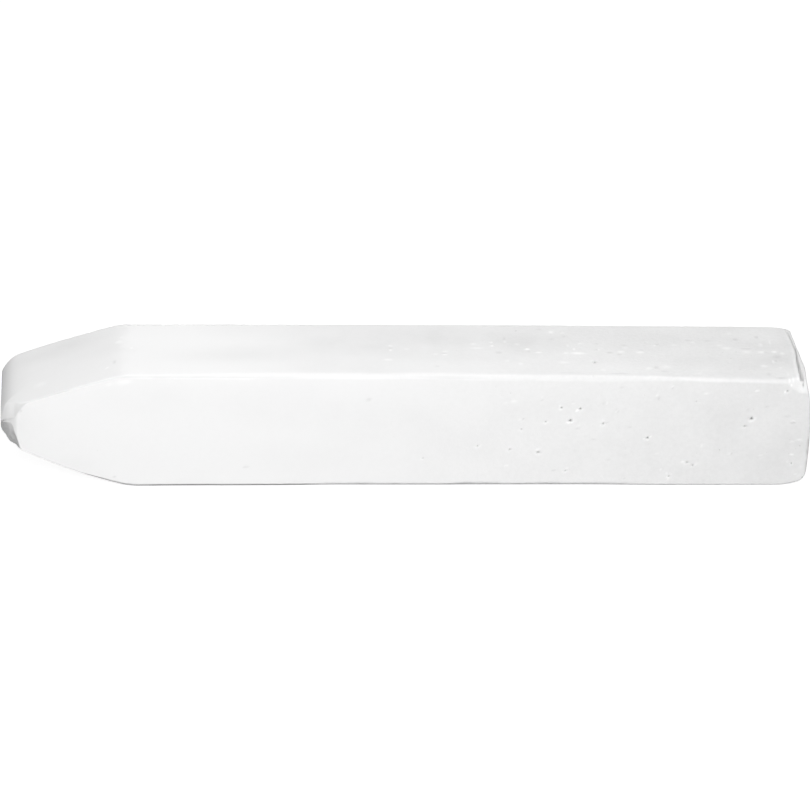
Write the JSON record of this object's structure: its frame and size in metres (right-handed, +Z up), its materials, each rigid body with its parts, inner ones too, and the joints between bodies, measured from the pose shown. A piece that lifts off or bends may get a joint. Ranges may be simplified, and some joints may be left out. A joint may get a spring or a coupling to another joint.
{
  "type": "chalk stick",
  "caption": "Square stick of white blackboard chalk with a chisel-tapered nose, a chipped nose corner and a scored butt.",
  "frame": {"origin": "middle of the footprint box at the height of the resting face; the stick lies on one long side", "axes": "+X along the stick from the nose to the butt, +Y from the front face to the rear face, +Z up"},
  "size_m": [0.08, 0.012, 0.0122],
  "materials": {
    "chalk": "matt cast chalk, powdery"
  },
  "bodies": {
    "root": {"chalk_stick": "chalk"}
  },
  "joints": []
}
